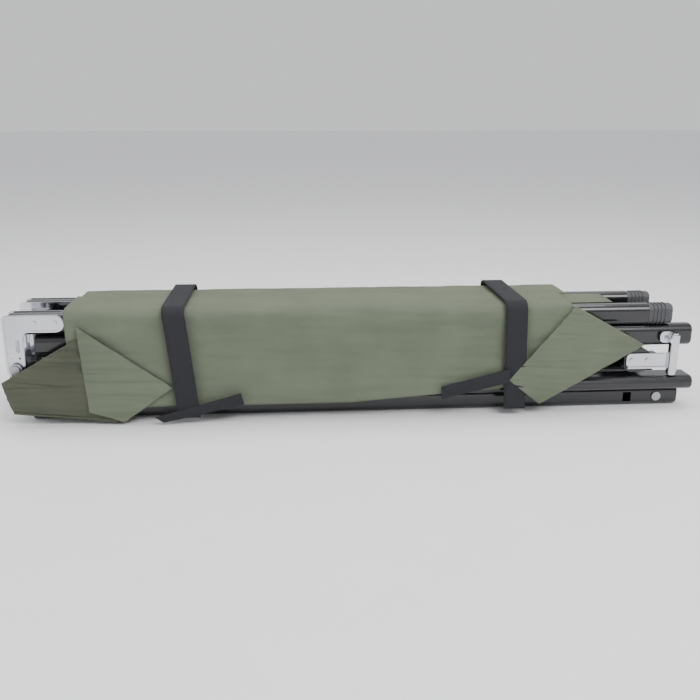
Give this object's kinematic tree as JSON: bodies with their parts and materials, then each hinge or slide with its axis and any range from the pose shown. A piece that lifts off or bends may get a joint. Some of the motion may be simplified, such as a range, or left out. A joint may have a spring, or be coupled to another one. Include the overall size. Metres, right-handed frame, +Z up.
{
  "type": "folding stretcher",
  "caption": "Folded camp stretcher: black steel rails hinged at one end, chrome hinge plates and yokes, wrapped in olive cloth with black straps.",
  "frame": {"origin": "centre of the resting footprint, on the ground", "axes": "+X along the folded length, away from the rail hinges; -Y is the front; +Z up"},
  "size_m": [0.962, 0.16, 0.159],
  "materials": {
    "cloth": "matte woven",
    "webbing": "matte webbing",
    "plastic": "moulded",
    "chrome": "polished",
    "zinc": "satin",
    "coat": "gloss powder coat"
  },
  "bodies": {
    "lower_frame_front": {"lower_rail_front": "coat", "lower_rail_cap_front": "plastic", "lower_spar_front": "coat", "hinge_block_front": "coat", "hinge_pin_front": "zinc", "cloth_wrap_front": "cloth", "strap_left_front": "webbing", "strap_right_front": "webbing", "cloth_flap_left": "cloth", "cloth_flap_right": "cloth", "bed_sheet_lower": "cloth"},
    "upper_frame_front": {"upper_rail_front": "coat", "upper_rail_cap_front": "plastic", "upper_spar_front": "coat", "hinge_plate_outer_front": "chrome", "hinge_plate_inner_front": "chrome", "bed_sheet_upper": "cloth"},
    "lower_swivel_front": {"swivel_lower_front": "zinc"},
    "lower_leg_front": {"leg_lower_front": "coat", "foot_lower_front": "plastic"},
    "upper_swivel_front": {"swivel_upper_front": "zinc", "yoke_front": "chrome", "yoke_block_front": "coat"},
    "upper_leg_front": {"leg_upper_front": "coat", "foot_upper_front": "plastic"},
    "centre_swivel_front": {"swivel_centre_front": "zinc"},
    "centre_leg_front": {"leg_centre_front": "coat", "foot_centre_front": "plastic"},
    "lower_frame_back": {"lower_rail_back": "coat", "lower_rail_cap_back": "plastic", "lower_spar_back": "coat", "hinge_block_back": "coat", "hinge_pin_back": "zinc", "cloth_wrap_back": "cloth", "strap_left_back": "webbing", "strap_right_back": "webbing"},
    "upper_frame_back": {"upper_rail_back": "coat", "upper_rail_cap_back": "plastic", "upper_spar_back": "coat", "hinge_plate_outer_back": "chrome", "hinge_plate_inner_back": "chrome"},
    "lower_swivel_back": {"swivel_lower_back": "zinc"},
    "lower_leg_back": {"leg_lower_back": "coat", "foot_lower_back": "plastic"},
    "upper_swivel_back": {"swivel_upper_back": "zinc", "yoke_back": "chrome", "yoke_block_back": "coat"},
    "upper_leg_back": {"leg_upper_back": "coat", "foot_upper_back": "plastic"},
    "centre_swivel_back": {"swivel_centre_back": "zinc"},
    "centre_leg_back": {"leg_centre_back": "coat", "foot_centre_back": "plastic"}
  },
  "joints": [
    {"name": "rail_fold", "type": "hinge", "parent": "lower_frame_front", "child": "upper_frame_front", "pos_m": [-0.468, -0.04, 0.075], "axis": [0, -1, 0], "range_deg": [0, 180], "deforming": ["cloth_wrap_front", "cloth_wrap_back", "strap_left_front", "strap_left_back", "strap_right_front", "strap_right_back", "cloth_flap_left", "cloth_flap_right", "bed_sheet_lower", "bed_sheet_upper"]},
    {"name": "spread", "type": "slide", "parent": "lower_frame_front", "child": "lower_frame_back", "axis": [0, 1, 0], "range_m": [0, 0.68]},
    {"name": "spread_upper", "type": "slide", "parent": "upper_frame_front", "child": "upper_frame_back", "axis": [0, 1, 0], "range_m": [0, 0.68]},
    {"name": "lower_fold_front", "type": "hinge", "parent": "lower_frame_front", "child": "lower_swivel_front", "pos_m": [0.436, -0.0155, 0.0135], "axis": [0, 1, 0], "range_deg": [0, 90.5]},
    {"name": "lower_yaw_front", "type": "hinge", "parent": "lower_swivel_front", "child": "lower_leg_front", "pos_m": [0.416, -0.0155, 0.075], "axis": [0, 0, -1], "range_deg": [0, 54.99]},
    {"name": "lower_fold_back", "type": "hinge", "parent": "lower_frame_back", "child": "lower_swivel_back", "pos_m": [0.436, -0.0155, 0.0135], "axis": [0, 1, 0], "range_deg": [0, 90.5]},
    {"name": "lower_yaw_back", "type": "hinge", "parent": "lower_swivel_back", "child": "lower_leg_back", "pos_m": [0.416, -0.0155, 0.075], "axis": [0, 0, 1], "range_deg": [0, 54.99]},
    {"name": "upper_fold_front", "type": "hinge", "parent": "upper_frame_front", "child": "upper_swivel_front", "pos_m": [0.439, 0.0155, 0.1045], "axis": [0, -1, 0], "range_deg": [0, 90.5]},
    {"name": "upper_yaw_front", "type": "hinge", "parent": "upper_swivel_front", "child": "upper_leg_front", "pos_m": [0.416, 0.0155, 0.075], "axis": [0, 0, -1], "range_deg": [0, 54.99]},
    {"name": "upper_fold_back", "type": "hinge", "parent": "upper_frame_back", "child": "upper_swivel_back", "pos_m": [0.439, 0.0155, 0.1045], "axis": [0, -1, 0], "range_deg": [0, 90.5]},
    {"name": "upper_yaw_back", "type": "hinge", "parent": "upper_swivel_back", "child": "upper_leg_back", "pos_m": [0.416, 0.0155, 0.075], "axis": [0, 0, 1], "range_deg": [0, 54.99]},
    {"name": "centre_fold_front", "type": "hinge", "parent": "lower_frame_front", "child": "centre_swivel_front", "pos_m": [-0.468, 0, 0.075], "axis": [0, -1, 0], "range_deg": [0, 90.5]},
    {"name": "centre_yaw_front", "type": "hinge", "parent": "centre_swivel_front", "child": "centre_leg_front", "pos_m": [-0.441, 0, 0.075], "axis": [0, 0, 1], "range_deg": [0, 54.99]},
    {"name": "centre_fold_back", "type": "hinge", "parent": "lower_frame_back", "child": "centre_swivel_back", "pos_m": [-0.468, 0, 0.075], "axis": [0, -1, 0], "range_deg": [0, 90.5]},
    {"name": "centre_yaw_back", "type": "hinge", "parent": "centre_swivel_back", "child": "centre_leg_back", "pos_m": [-0.441, 0, 0.075], "axis": [0, 0, -1], "range_deg": [0, 54.99]}
  ],
  "couplings": [
    {"joint": "spread_upper", "follows": "spread", "ratio": 1},
    {"joint": "lower_fold_front", "follows": "rail_fold", "ratio": 0.5},
    {"joint": "lower_yaw_front", "follows": "spread", "rad_per_m": 1.3986},
    {"joint": "lower_fold_back", "follows": "rail_fold", "ratio": 0.5},
    {"joint": "lower_yaw_back", "follows": "spread", "rad_per_m": 1.3986},
    {"joint": "upper_fold_front", "follows": "rail_fold", "ratio": 0.5},
    {"joint": "upper_yaw_front", "follows": "spread", "rad_per_m": 1.3986},
    {"joint": "upper_fold_back", "follows": "rail_fold", "ratio": 0.5},
    {"joint": "upper_yaw_back", "follows": "spread", "rad_per_m": 1.3986},
    {"joint": "centre_fold_front", "follows": "rail_fold", "ratio": 0.5},
    {"joint": "centre_yaw_front", "follows": "spread", "rad_per_m": 1.3986},
    {"joint": "centre_fold_back", "follows": "rail_fold", "ratio": 0.5},
    {"joint": "centre_yaw_back", "follows": "spread", "rad_per_m": 1.3986}
  ]
}
